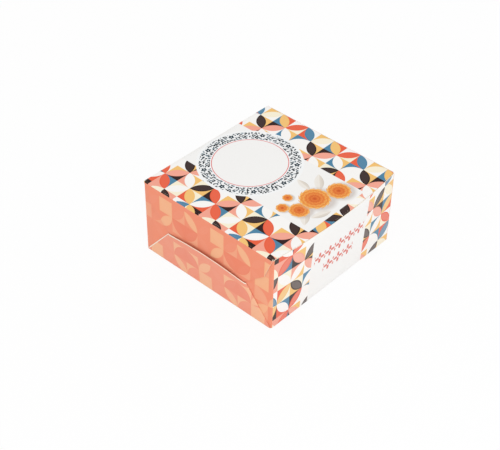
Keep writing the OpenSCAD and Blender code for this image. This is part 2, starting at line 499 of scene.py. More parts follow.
@dataclass(frozen=True)
class Blossom:
    """A marigold head, seen from above."""

    x: float
    y: float
    radius: float
    petals: int
    rings: float

    def paint(self, tree: Tree, flat: Socket, ink: Socket) -> Socket:
        """Draw the blossom and its soft shadow.

        Args:
            tree: the material's node tree.
            flat: the place on the face in millimetres.
            ink: the colour under the blossom.

        Returns:
            The colour with the blossom on it.
        """
        fallen = (self.x + 0.12 * self.radius, self.y - 0.22 * self.radius, 0.0)
        shade = add(tree, "VectorMath DISTANCE", [flat, fallen])
        dim = add(tree, "MapRange", {"Value": shade, "From Min": self.radius * 0.9,
                                     "From Max": self.radius * 1.25, "To Min": 0.75, "To Max": 0.0})
        ink = add(tree, "Mix RGBA", [dim, ink, linear("#c9beb6")])
        offset = add(tree, "VectorMath SUBTRACT", [flat, (self.x, self.y, 0.0)])
        axes = add(tree, "SeparateXYZ", [offset]).node.outputs
        radius = add(tree, "Math DIVIDE", [add(tree, "VectorMath LENGTH", [offset]), self.radius])
        angle = add(tree, "Math ARCTAN2", [axes["Y"], axes["X"]])

        # Each ring of petals is turned a little from the one outside it
        rings = add(tree, "Math MULTIPLY", [radius, self.rings])
        turn = add(tree, "Math MULTIPLY", [add(tree, "Math FLOOR", [rings]), 2.1])
        lobes = add(tree, "Math COSINE", [add(tree, "Math MULTIPLY_ADD", [angle, float(self.petals), turn])])
        layer = add(tree, "Math FRACT", [add(tree, "Math MULTIPLY_ADD", [lobes, 0.16, rings])])
        tone = add(tree, "Math MULTIPLY_ADD", [layer, 0.38, add(tree, "Math MULTIPLY", [radius, 0.6])])
        petals = set_stops(add(tree, "ValToRGB", [tone]), [
            (0.0, "#c04a17"), (0.35, "#df7030"), (0.6, "#ec9243"), (0.82, "#f3b85f"), (1.0, "#fae0a0")])
        edge = add(tree, "Math MULTIPLY_ADD", [lobes, 0.05, 0.94])
        mask = add(tree, "Math LESS_THAN", [radius, edge])
        return add(tree, "Mix RGBA", [mask, ink, petals])


@dataclass(frozen=True)
class LidPrint(PrintedFace):
    """Top of the lid: petals at the sides of a white field with a ring label and marigolds."""

    name: str = "coated_board_petal_lid_print"
    face: Face = Face.TOP
    grid: PetalGrid = TOP_PETALS
    field_middle: float = 2.9
    field_half: float = 34.3
    field_front: float = -65.3
    ring_x: float = 3.1
    ring_y: float = 27.6
    ring_radius: float = 43.3
    disc_radius: float = 32.6
    oval: float = 1.035
    halo: float = 2.3
    line_width: float = 0.75
    mark_pitch: float = 2.35
    mark_length: float = 2.9
    mark_width: float = 1.5
    ring_gap: float = 1.3
    rosettes: int = 9
    rosette_petals: int = 5
    rosette_turn: float = 0.3
    rosette_ring: float = 39.7
    rosette_radius: float = 2.8
    foliage: Tuple[Leaf, ...] = (
        Leaf(-19.0, -51.0, 22.0, 8.0, 38.0), Leaf(-8.0, -58.5, 19.0, 7.0, -18.0),
        Leaf(22.0, -31.0, 22.0, 8.0, 42.0), Leaf(11.0, -24.0, 17.0, 6.5, 78.0))
    blossoms: Tuple[Blossom, ...] = (
        Blossom(-23.0, -31.0, 5.5, 8, 2.2), Blossom(-10.5, -25.5, 4.5, 8, 2.2),
        Blossom(-16.0, -42.5, 9.0, 10, 3.2), Blossom(3.5, -42.0, 13.5, 14, 4.2),
        Blossom(24.5, -49.5, 10.5, 12, 3.2))

    def overprint(self, tree: Tree, across: Socket, up: Socket, ink: Socket) -> Socket:
        """Lay the white field, the marigolds and the ring label over the petals.

        Args:
            tree: the material's node tree.
            across: millimetres across the face.
            up: millimetres up the face.
            ink: the colour of the petals.

        Returns:
            The printed colour.
        """
        flat = add(tree, "CombineXYZ", [across, up, 0.0])
        middle = add(tree, "Math COMPARE", [across, self.field_middle, self.field_half])
        behind = add(tree, "Math GREATER_THAN", [up, self.field_front])
        white = add(tree, "Math MULTIPLY", [middle, behind])
        ink = add(tree, "Mix RGBA", [white, ink, linear(self.base)])
        for motif in self.foliage + self.blossoms:
            ink = motif.paint(tree, flat, ink)

        # The ring is a little wider than it is deep
        offset = add(tree, "VectorMath SUBTRACT", [flat, (self.ring_x, self.ring_y, 0.0)])
        offset = add(tree, "VectorMath MULTIPLY", [offset, (1.0, self.oval, 1.0)])
        radius = add(tree, "VectorMath LENGTH", [offset])
        halo = add(tree, "Math LESS_THAN", [radius, self.ring_radius + self.halo])
        ink = add(tree, "Mix RGBA", [halo, ink, linear("#f5f6f6")])
        ink = self.border(tree, flat, offset, ink)
        disc = add(tree, "Math LESS_THAN", [radius, self.disc_radius])
        ink = add(tree, "Mix RGBA", [disc, ink, linear(self.base)])
        line = add(tree, "Math COMPARE", [radius, self.disc_radius, self.line_width / 2])
        return add(tree, "Mix RGBA", [line, ink, linear("#e07a78")])

    def border(self, tree: Tree, flat: Socket, offset: Socket, ink: Socket) -> Socket:
        """Print the ring of small scattered leaves, with a rosette at equal steps round it.

        Args:
            tree: the material's node tree.
            flat: the place on the face in millimetres.
            offset: the place from the middle of the ring, in which the ring is round.
            ink: the colour under the ring.

        Returns:
            The colour with the leaves on it.
        """
        radius = add(tree, "VectorMath LENGTH", [offset])
        axes = add(tree, "SeparateXYZ", [offset]).node.outputs
        angle = add(tree, "Math ARCTAN2", [axes["Y"], axes["X"]])
        shown, tone = self.leaves(tree, flat)

        # A rosette clears the leaves round it
        start = 0.5 * self.rosettes + self.rosette_turn
        step = add(tree, "Math MULTIPLY_ADD", [angle, self.rosettes / (2 * math.pi), start])
        side = add(tree, "Math MULTIPLY_ADD", [add(tree, "Math FRACT", [step]),
                                  2 * math.pi * self.rosette_ring / self.rosettes,
                                  -math.pi * self.rosette_ring / self.rosettes])
        rise = add(tree, "Math SUBTRACT", [radius, self.rosette_ring])
        away = add(tree, "VectorMath LENGTH", [add(tree, "CombineXYZ", [side, rise, 0.0])])
        swirl = add(tree, "Math MULTIPLY", [add(tree, "Math ARCTAN2", [rise, side]),
                                            float(self.rosette_petals)])
        lobes = add(tree, "Math MULTIPLY_ADD", [add(tree, "Math COSINE", [swirl]),
                                                0.2 * self.rosette_radius, 0.8 * self.rosette_radius])
        rosette = add(tree, "Math LESS_THAN", [away, lobes])
        eye = add(tree, "Math LESS_THAN", [away, 0.2 * self.rosette_radius])
        clear = add(tree, "Math GREATER_THAN", [away, 1.3 * self.rosette_radius])
        shown = add(tree, "Math MULTIPLY", [shown, clear])
        inner = self.disc_radius + self.ring_gap
        inside = add(tree, "Math COMPARE", [radius, (self.ring_radius + inner) / 2,
                                            (self.ring_radius - inner) / 2])
        shown = add(tree, "Math MULTIPLY", [shown, inside])
        ink = add(tree, "Mix RGBA", [shown, ink, tone])
        ink = add(tree, "Mix RGBA", [rosette, ink, linear("#16303b")])
        return add(tree, "Mix RGBA", [eye, ink, linear("#e9edf0")])

    def leaves(self, tree: Tree, flat: Socket) -> Tuple[Socket, Socket]:
        """Scatter small leaves that lie every way and vary in size and ink.

        Args:
            tree: the material's node tree.
            flat: the place on the face in millimetres.

        Returns:
            One inside a leaf and zero outside, and the leaf's ink.
        """
        cell = add(tree, "TexVoronoi", {"Vector": flat, "Scale": 1 / self.mark_pitch, "Randomness": 0.75},
                   voronoi_dimensions="2D").node.outputs
        chance = add(tree, "SeparateXYZ", [cell["Color"]]).node.outputs
        lean = add(tree, "Math MULTIPLY", [chance["X"], math.pi])
        spot = add(tree, "VectorMath SUBTRACT", [flat, cell["Position"]])
        spot = add(tree, "VectorRotate", {"Vector": spot, "Angle": lean}, rotation_type="Z_AXIS")
        local = add(tree, "SeparateXYZ", [spot]).node.outputs
        share = add(tree, "Math MULTIPLY", [local["X"], 2 / self.mark_length])
        girth = add(tree, "MapRange", {"Value": chance["Y"], "To Min": 0.3 * self.mark_width,
                                       "To Max": 0.65 * self.mark_width})
        taper = add(tree, "Math SUBTRACT", [1.0, add(tree, "Math MULTIPLY", [share, share])])
        blade = add(tree, "Math LESS_THAN", [add(tree, "Math ABSOLUTE", [local["Y"]]),
                                             add(tree, "Math MULTIPLY", [taper, girth])])
        tone = set_stops(add(tree, "ValToRGB", [chance["Z"]]),
                         [(0.0, "#12191c"), (0.5, "#25333a"), (0.8, "#3f5560"), (1.0, "#7d919b")])
        return blade, tone


@dataclass(frozen=True)
class EndPrint(PrintedFace):
    """Ends of the carton: the petal grid in peach and deep coral on coral."""

    name: str = "coated_board_coral_print"
    grid: PetalGrid = END_PETALS


@dataclass(frozen=True)
class PlainBoard(Finish):
    """Uncoated back of the board, made of pressed recycled fibre.

    The eye gets a dull, warm grey with small darker and lighter flecks of fibre.
    """

    name: str = "uncoated_board_grey_back"
    colour: str = "#ddd8cf"
    dark_fleck: str = "#c3bcb0"
    light_fleck: str = "#ebe7df"
    fleck: float = 0.7
    roughness: float = 0.85

    def surface(self, tree: Tree, place: Socket) -> Socket:
        """Scatter the flecks.

        Args:
            tree: the material's node tree.
            place: the place on the board in millimetres.

        Returns:
            The shader.
        """
        fibre = add(tree, "TexNoise", {"Vector": place, "Scale": 1 / self.fleck, "Detail": 5.0,
                                       "Roughness": 0.65})
        colour = set_stops(add(tree, "ValToRGB", [fibre]), [
            (0.32, self.dark_fleck), (0.45, self.colour), (0.6, self.colour), (0.7, self.light_fleck)])
        bump = add(tree, "Bump", {"Height": fibre, "Strength": 0.3, "Distance": 0.05 * MM})
        return add(tree, "BsdfPrincipled", {
            "Base Color": colour, "Roughness": self.roughness, "Normal": bump, "IOR": 1.45,
            "Specular IOR Level": 0.3})


@dataclass(frozen=True)
class CutEdge(Finish):
    """Edge of the board where the die cut it.

    The layers of the board show as fine lines along the sheet, paler than its back and with no gloss.
    """

    name: str = "die_cut_board_edge"
    light: str = "#fdf6e8"
    dark: str = "#f3e6d2"
    layer: float = 0.16

    def surface(self, tree: Tree, place: Socket) -> Socket:
        """Lay the fine lines of the layers.

        Args:
            tree: the material's node tree.
            place: the place on the board in millimetres.

        Returns:
            The shader.
        """
        fibre = add(tree, "TexNoise", {"Vector": place, "Scale": 1 / self.layer, "Detail": 2.0})
        colour = set_stops(add(tree, "ValToRGB", [fibre]), [(0.35, self.dark), (0.65, self.light)])
        bump = add(tree, "Bump", {"Height": fibre, "Strength": 0.25, "Distance": 0.03 * MM})
        return add(tree, "BsdfPrincipled", {
            "Base Color": colour, "Roughness": 0.8, "Normal": bump, "IOR": 1.45,
            "Specular IOR Level": 0.3})


@dataclass(frozen=True)
class GlueFilm(Finish):
    """Dried dispersion glue: a thin, slightly cloudy film with soft ripples from the roller."""

    name: str = "dispersion_glue_dried"
    colour: str = "#ece5cd"
    cloud: str = "#dfd5b4"
    ripple: float = 1.5

    def surface(self, tree: Tree, place: Socket) -> Socket:
        """Cloud and ripple the film.

        Args:
            tree: the material's node tree.
            place: the place on the film in millimetres.

        Returns:
            The shader.
        """
        cloud = add(tree, "TexNoise", {"Vector": place, "Scale": 1 / self.ripple, "Detail": 2.0})
        colour = set_stops(add(tree, "ValToRGB", [cloud]), [(0.3, self.cloud), (0.7, self.colour)])
        bump = add(tree, "Bump", {"Height": cloud, "Strength": 0.4, "Distance": 0.05 * MM})
        return add(tree, "BsdfPrincipled", {
            "Base Color": colour, "Roughness": 0.3, "Normal": bump, "IOR": 1.47})


@dataclass(frozen=True)
class StudioPaper(Finish):
    """Seamless white studio paper that looks plain white and still takes the carton's soft shadow."""

    name: str = "studio_paper_white"
    colour: str = "#f8f8f8"
    glow_share: float = 0.92

    def surface(self, tree: Tree, place: Socket) -> Socket:
        """Mix the paper with a glow that only direct looks see.

        Args:
            tree: the material's node tree.
            place: the place on the paper, which is alike all over.

        Returns:
            The shader.
        """
        paper = add(tree, "BsdfDiffuse", {"Color": linear(self.colour)})
        glow = add(tree, "Emission", {"Color": linear("#ffffff"), "Strength": 1.0})
        share = add(tree, "Math MULTIPLY", [seen_directly(tree), self.glow_share])
        return add(tree, "MixShader", [share, paper, glow])


def seen_directly(tree: Tree) -> Socket:
    """Tell rays of the camera, of reflections and through glass from the light's own.

    Args:
        tree: the node tree of the material or the world.

    Returns:
        One for such a ray, and zero for another.
    """
    path = add(tree, "LightPath").node.outputs
    seen = add(tree, "Math MAXIMUM", [path["Is Camera Ray"], path["Is Glossy Ray"]])
    return add(tree, "Math MAXIMUM", [seen, path["Is Transmission Ray"]])


@dataclass(frozen=True)
class BoardFinish:
    """The three finishes of a piece of board: its printed side, its back and its cut edges."""

    printed: bpy.types.Material
    plain: bpy.types.Material
    cut: bpy.types.Material


# Slots of a board: its printed side, then back and edge, and these two again behind a pale margin that takes
# the cut edge's finish on its printed side
PRINTED_SLOT = 0
CUT_SLOTS = (2, 4)
EDGE_FACING = 0.8

Place = Callable[[float, float], Vector]


def grid_skin(place: Place, columns: int, rows: int) -> Skin:
    """Shape a grid into the printed side of a panel.

    Args:
        place: gives the point for a place from -1 to 1 across and from 0 to 1 up.
        columns: faces across.
        rows: faces up.

    Returns:
        The skin.
    """
    skin = bmesh.new()
    bmesh.ops.create_grid(skin, x_segments=columns, y_segments=rows, size=1.0)
    for vert in skin.verts:
        vert.co = place(vert.co.x, 0.5 + 0.5 * vert.co.y)
    skin.normal_update()
    return skin


def pale_margin(skin: Skin, width: float, pale_strip: Callable[[Vector], bool]) -> None:
    """Give a strip along some edges of a skin the pale finish of the cut edge in place of ink.

    Args:
        skin: the printed side.
        width: the strip's width in metres.
        pale_strip: tells from the middle of a face of the strip whether it is pale.
    """
    strip = bmesh.ops.inset_region(skin, faces=skin.faces[:], thickness=width, use_boundary=True,
                                   use_even_offset=True)["faces"]
    for face in strip:
        if pale_strip(face.calc_center_median()):
            # The pale finish of the cut edge on the printed side; along a slit it is a painted highlight
            face.material_index = CUT_SLOTS[0]


def ink_over_edge(piece: bpy.types.Object, direction: Vector) -> None:
    """Let the ink run over the cut edges that face a direction.

    Args:
        piece: a finished piece of board.
        direction: the way that the edges face.
    """
    for polygon in piece.data.polygons:
        facing = polygon.normal.dot(direction.normalized()) > EDGE_FACING
        if facing and polygon.material_index in CUT_SLOTS:
            polygon.material_index = PRINTED_SLOT


def outline_skin(corners: Sequence[Tuple[float, float]], radii: Sequence[float], place: Place,
                 pitch: float) -> Skin:
    """Shape an outline with round corners into the printed side of a flap.

    Args:
        corners: the sharp corners across and up, in metres.
        radii: the radius of each corner in metres, where 0 leaves it sharp.
        place: gives the point for a place across and up.
        pitch: the largest distance in metres between the lines that let the flap bend.

    Returns:
        The skin.
    """
    skin = bmesh.new()
    verts = [skin.verts.new((across, up, 0.0)) for across, up in corners]
    skin.faces.new(verts)
    count = len(corners)
    for number, (vert, radius) in enumerate(zip(verts, radii)):
        if radius:
            here = Vector(corners[number])
            before = Vector(corners[number - 1]) - here
            after = Vector(corners[(number + 1) % count]) - here
            run = radius / math.tan(before.angle(after) / 2)
            bmesh.ops.bevel(skin, geom=[vert], offset=run, offset_type="OFFSET", affect="VERTICES",
                            segments=8, profile=0.5, material=-1)
    for axis in range(2):
        low = min(corner[axis] for corner in corners)
        high = max(corner[axis] for corner in corners)
        steps = max(1, math.ceil((high - low) / pitch))
        normal = Vector((1.0 - axis, float(axis), 0.0))
        for k in range(1, steps):
            bmesh.ops.bisect_plane(skin, geom=skin.verts[:] + skin.edges[:] + skin.faces[:], dist=1e-7,
                                   plane_co=normal * (low + (high - low) * k / steps), plane_no=normal)
    for vert in skin.verts:
        vert.co = place(vert.co.x, vert.co.y)
    return skin


@dataclass(frozen=True)
class Bend:
    """A quarter bend of the board round a crease, with a short flat lip on each side."""

    corner: Vector
    first: Vector
    second: Vector
    radius: float
    lip: float

    def point(self, share: float) -> Vector:
        """Give a point of the outer side.

        Args:
            share: how far it lies from the end of the first lip to the end of the second, from 0 to 1.

        Returns:
            The point.
        """
        arc = self.radius * math.pi / 2
        run = share * (2 * self.lip + arc)
        if run <= self.lip:
            return self.corner + self.first * (self.radius + self.lip - run)
        if run >= self.lip + arc:
            return self.corner + self.second * (self.radius + run - self.lip - arc)
        turn = (run - self.lip) / self.radius
        centre = self.corner + (self.first + self.second) * self.radius
        return centre - (self.second * math.cos(turn) + self.first * math.sin(turn)) * self.radius

    def outward(self) -> Vector:
        """Give the direction that the printed side faces."""
        return -(self.first + self.second).normalized()


def board(name: str, skin: Skin, outward: Vector, thickness: float,
          finish: BoardFinish) -> bpy.types.Object:
    """Give a skin the board's thickness, a plain back and eased cut edges.

    The slots repeat, so that behind a margin without ink the back and the edge keep their finishes.

    Args:
        name: the piece's name.
        skin: the printed side.
        outward: the way that the printed side faces.
        thickness: the board's thickness in metres.
        finish: the finishes of the printed side, the back and the edges.

    Returns:
        The piece.
    """
    skin.normal_update()
    facing = sum((face.normal * face.calc_area() for face in skin.faces), Vector())
    if facing.dot(outward) < 0:
        bmesh.ops.reverse_faces(skin, faces=skin.faces[:])
    mesh = bpy.data.meshes.new(name)
    skin.to_mesh(mesh)
    skin.free()
    piece = bpy.data.objects.new(name, mesh)
    bpy.context.scene.collection.objects.link(piece)
    for material in (finish.printed, finish.plain, finish.cut, finish.plain, finish.cut):
        mesh.materials.append(material)
    shell = piece.modifiers.new("thickness", "SOLIDIFY")
    shell.thickness = thickness
    shell.offset = -1.0
    shell.use_even_offset = True
    shell.material_offset = 1
    shell.material_offset_rim = 2
    ease = piece.modifiers.new("eased_edges", "BEVEL")
    ease.width = 0.12 * thickness
    ease.segments = 2
    ease.limit_method = "ANGLE"
    ease.angle_limit = math.radians(55)
    bpy.context.view_layer.update()
    shaped = bpy.data.meshes.new_from_object(piece.evaluated_get(bpy.context.evaluated_depsgraph_get()))
    piece.modifiers.clear()
    piece.data = shaped
    shaped.name = name
    shaped.polygons.foreach_set("use_smooth", [True] * len(shaped.polygons))
    shaped.set_sharp_from_angle(angle=math.radians(38))
    bpy.data.meshes.remove(mesh)
    LOG.info("%s: %d faces", name, len(shaped.polygons))
    return piece


@dataclass
class Carton:
    """Main places of the carton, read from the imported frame, and the sizes that every panel shares."""

    bow: float = 5.0 * MM
    fold_radius: float = 0.8 * MM
    crease_radius: float = 0.7 * MM
    lip: float = 0.25 * MM
    # Width of the pale margins; along a slit the pale margin is a painted highlight of its cut edge
    pale_strip: float = 0.85 * MM
    half: float = field(init=False)
    top: float = field(init=False)
    board: float = field(init=False)
    wall_half: float = field(init=False)
    front: float = field(init=False)
    back: float = field(init=False)

    def __post_init__(self) -> None:
        """Read the places from the frame."""
        low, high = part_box("right_side_flap")
        self.half = high.x
        self.board = high.x - low.x
        self.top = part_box("lid_panel")[1].z
        low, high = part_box("back_wall")
        self.wall_half = high.x
        self.back = high.y
        self.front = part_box("front_wall")[0].y + self.bow

    @property
    def middle(self) -> float:
        """Give the place of the middle of the base from front to back."""
        return (self.front + self.back) / 2

    @property
    def reach(self) -> float:
        """Give how far a moving crease reaches over each panel from its sharp corner."""
        return self.crease_radius + self.lip

    def bow_at(self, x: float) -> float:
        """Give how far the top of the front stands out at a place along the width."""
        return self.bow * max(0.0, 1 - (x / self.wall_half) ** 2)


@dataclass
class Tray:
    """Base, walls, pocket flaps and corner tabs with their fixed folds and glue."""

    carton: Carton
    white: BoardFinish
    front_print: BoardFinish
    back_print: BoardFinish
    pocket_prints: Tuple[BoardFinish, BoardFinish]
    tab_prints: Tuple[BoardFinish, BoardFinish]
    glue: bpy.types.Material
    pocket_inset: float = 27.0 * MM
    pocket_crown: float = 5.0 * MM
    pocket_bulge: float = 1.7 * MM
    pocket_ripple: float = 0.12 * MM
    pocket_hug: int = 16
    pocket_press: float = 0.2 * MM
    press_reach: int = 60
    slit_share: float = 0.97
    tab_slant: float = 6.0 * MM
    tab_corner: float = 4.0 * MM

    def build(self) -> None:
        """Make every piece of the tray."""
        self.base()
        self.front_wall()
        self.back_wall()
        for side, word in ((-1, "left"), (1, "right")):
            self.pocket_flap(side, word)
            for wall, row in ((-1, "front"), (1, "back")):
                self.corner_tab(side, wall, f"{row}_{word}_tab")
                self.corner_fold(side, wall, f"{row}_{word}_fold")
                node = bpy.data.objects.get(f"{row}_{word}_glue")
                if node is not None:
                    self.dress_glue(node)
        self.base_folds()

    def place(self, piece: bpy.types.Object, node: str, slot: str) -> None:
        """Let a piece ride on the tray in place of its node.

        Args:
            piece: the finished piece.
            node: the node that it stands for.
            slot: not used.
        """
        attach(piece, "tray")
        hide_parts(node)

    def dress_glue(self, node: bpy.types.Object) -> None:
        """Give a glue film its finish."""
        node.data.materials.clear()
        node.data.materials.append(self.glue)

    def base(self) -> None:
        """Make the base, white underneath and plain inside."""
        low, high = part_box("base_panel")

        def spot(u: float, v: float) -> Vector:
            """Give a point of the underside."""
            return Vector((high.x * u, low.y + (high.y - low.y) * v, low.z))

        piece = board("base_board", grid_skin(spot, 24, 24), Vector((0, 0, -1)), self.carton.board,
                      self.white)
        self.place(piece, "base_panel", "plain_board")

    def front_wall(self) -> None:
        """Make the front wall, straight at its foot and bowed outward at its top."""
        carton = self.carton
        low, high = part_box("front_wall")

        def spot(u: float, v: float) -> Vector:
            """Give a point of the outer side."""
            return Vector((carton.wall_half * u, carton.front - carton.bow * (1 - u * u) * v,
                           low.z + (high.z - low.z) * v))

        piece = board("front_wall_board", grid_skin(spot, 64, 24), Vector((0, -1, 0)), carton.board,
                      self.front_print)
        self.place(piece, "front_wall", "white_print")

    def back_wall(self) -> None:
        """Make the flat back wall, up to the crease of the lid."""
        carton = self.carton
        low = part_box("back_wall")[0]
        height = carton.top - carton.reach - low.z

        def spot(u: float, v: float) -> Vector:
            """Give a point of the outer side."""
            return Vector((carton.wall_half * u, carton.back, low.z + height * v))

        piece = board("back_wall_board", grid_skin(spot, 48, 20), Vector((0, 1, 0)), carton.board,
                      self.back_print)
        self.place(piece, "back_wall", "white_print")

    def pocket_flap(self, side: int, word: str) -> None:
        """Make the low flap outside an end; its free edge is the slit, and its ends hug the tabs.

        Args:
            side: -1 for the left end and 1 for the right.
            word: the end's name.
        """
        carton = self.carton
        node = f"{word}_pocket_flap"
        low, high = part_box(node)
        lean = max(abs(low.x), abs(high.x)) - carton.half - self.pocket_bulge
        foot = (high.y - low.y) / 2
        slit = (carton.back - carton.front) / 2 - self.pocket_inset

        def slit_height(u: float) -> float:
            """Give the height of the slit over the foot at a place from -1 to 1 along it."""
            return high.z - low.z - self.pocket_crown * u * u

        def spot(u: float, v: float) -> Vector:
            """Give a point of the outer side.

            Args:
                u: the place along the flap, from -1 to 1.
                v: the share of the way from the foot, at 0, to the slit, at 1.

            Returns:
                The point.
            """
            ripple = self.pocket_ripple * math.sin(7 * u + 1.0) * v * (1 - u * u)
            hug = 1 - abs(u) ** self.pocket_hug
            out = v * (lean * hug + self.pocket_bulge * (1 - u * u)) - abs(ripple)
            out -= self.pocket_press * abs(u) ** self.press_reach * min(1.0, 5 * v)
            return Vector((side * (carton.half + out), carton.middle + u * (foot + (slit - foot) * v),
                           low.z + slit_height(u) * v))

        def pale_strip(spot: Vector) -> bool:
            """Tell the pale margin of the slit, a painted highlight of its cut edge, and the pale margin of
            the end at the back from the rest.

            Args:
                spot: a point of the flap.

            Returns:
                True in the margin.
            """
            share = (spot.z - low.z) / slit_height(min(1.0, abs(spot.y - carton.middle) / slit))
            half = foot + (slit - foot) * min(1.0, share)
            return share > self.slit_share or spot.y - carton.middle > half - carton.pale_strip

        skin = grid_skin(spot, 48, 16)
        # The pale margin along the slit is a painted highlight of its cut edge
        pale_margin(skin, carton.pale_strip, pale_strip)
        piece = board(f"{word}_pocket_board", skin, Vector((side, 0, 0)), carton.board,
                      self.pocket_prints[side > 0])
        ink_over_edge(piece, Vector((0, -0.5, 1)))
        self.place(piece, node, "coral_print")

    def corner_tab(self, side: int, wall: int, node: str) -> None:
        """Make a tab of the front or back wall that lies inside an end.

        Args:
            side: -1 for the left end and 1 for the right.
            wall: -1 for the front wall's tab and 1 for the back wall's.
            node: the tab's node.
        """
        low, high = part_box(node)
        outer = max(abs(low.x), abs(high.x))
        root, tip = (low.y, high.y) if wall < 0 else (high.y, low.y)
        corners = [(root, low.z), (root, high.z), (tip, high.z), (tip + wall * self.tab_slant, low.z)]
        skin = outline_skin(corners, (0, 0, self.tab_corner, self.tab_corner),
                            lambda y, z: Vector((side * outer, y, z)), 12 * MM)
        piece = board(node + "_board", skin, Vector((side, 0, 0)), self.carton.board,
                      self.tab_prints[side > 0])
        self.place(piece, node, "coral_print")

    def fold(self, node: str, bend: Bend, start: Vector, end: Vector, finish: BoardFinish,
             slot: str) -> None:
        """Make a fixed fold of the board.

        Args:
            node: the fold's node.
            bend: the bend across the crease.
            start: offset to one end of the crease.
            end: offset to its other end.
            finish: the board's finishes.
            slot: the record's slot.
        """
        skin = grid_skin(lambda u, v: bend.point(v) + start + (end - start) * (0.5 + 0.5 * u), 32, 8)
        piece = board(node + "_board", skin, bend.outward(), self.carton.board, finish)
        self.place(piece, node, slot)

    def corner_fold(self, side: int, wall: int, node: str) -> None:
        """Make the upright fold between a wall and its tab.

        Args:
            side: -1 for the left end and 1 for the right.
            wall: -1 for the front wall and 1 for the back wall.
            node: the fold's node.
        """
        low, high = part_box(node)
        corner = Vector((high.x if side > 0 else low.x, high.y if wall > 0 else low.y, 0))
        bend = Bend(corner, Vector((-side, 0, 0)), Vector((0, -wall, 0)), self.carton.fold_radius, 0.0)
        self.fold(node, bend, Vector((0, 0, low.z)), Vector((0, 0, high.z)), self.tab_prints[side > 0],
                  "coral_print")

    def base_folds(self) -> None:
        """Make the four folds round the base."""
        radius = self.carton.fold_radius
        up = Vector((0, 0, 1))
        for wall, word, finish in ((-1, "front", self.front_print), (1, "back", self.back_print)):
            node = f"base_{word}_fold"
            low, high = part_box(node)
            corner = Vector((0, high.y if wall > 0 else low.y, low.z))
            self.fold(node, Bend(corner, Vector((0, -wall, 0)), up, radius, 0.0),
                      Vector((low.x, 0, 0)), Vector((high.x, 0, 0)), finish, "white_print")
        for side, word in ((-1, "left"), (1, "right")):
            node = f"base_{word}_fold"
            low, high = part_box(node)
            corner = Vector((high.x if side > 0 else low.x, 0, low.z))
            self.fold(node, Bend(corner, Vector((-side, 0, 0)), up, radius, 0.0),
                      Vector((0, low.y, 0)), Vector((0, high.y, 0)), self.pocket_prints[side > 0],
                      "coral_print")


